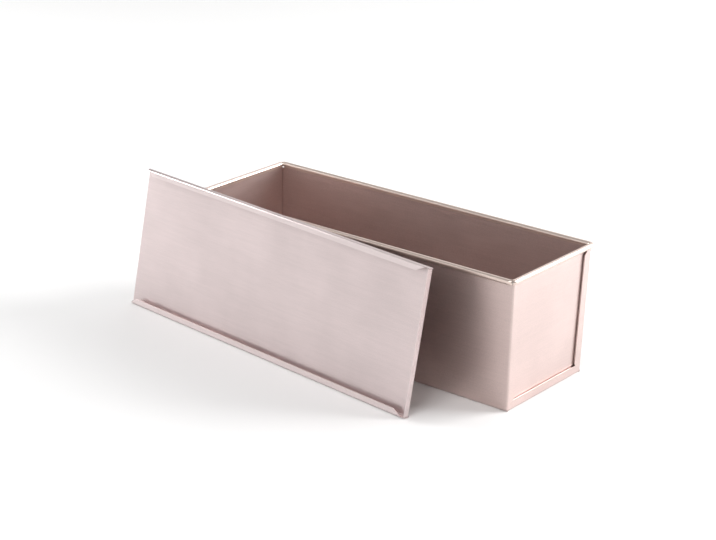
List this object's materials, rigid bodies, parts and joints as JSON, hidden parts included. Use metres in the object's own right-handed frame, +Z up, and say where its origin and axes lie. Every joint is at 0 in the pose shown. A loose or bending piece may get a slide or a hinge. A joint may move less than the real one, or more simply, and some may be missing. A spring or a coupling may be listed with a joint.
{
  "type": "pullman loaf pan",
  "caption": "Long, nearly straight-sided loaf pan with a wire-stiffened rolled rim, folded end seams, and a flat lid with side guides that leans against it.",
  "frame": {"origin": "centre of the pan's underside, on the surface that it stands on", "axes": "+X along the pan towards the end on the right of the picture, -Y towards the front wall and the leaning lid, +Z up"},
  "size_m": [0.392, 0.1752, 0.1193],
  "materials": {
    "coated_sheet": "satin champagne-coloured non-stick coating on steel sheet",
    "coated_lid": "satin champagne-coloured non-stick coating on steel sheet",
    "rim_wire": "drawn steel wire, hidden inside the rolled rim"
  },
  "bodies": {
    "pan": {"body_sheet": "coated_sheet", "left_end_panel": "coated_sheet", "right_end_panel": "coated_sheet", "rim_wire": "rim_wire"},
    "lid": {"lid": "coated_lid"}
  },
  "joints": [
    {"name": "lid_slide", "type": "slide", "parent": "pan", "child": "lid", "axis": [-0.994, 0.1097, 0], "range_m": [-0.05, 0.265]}
  ]
}
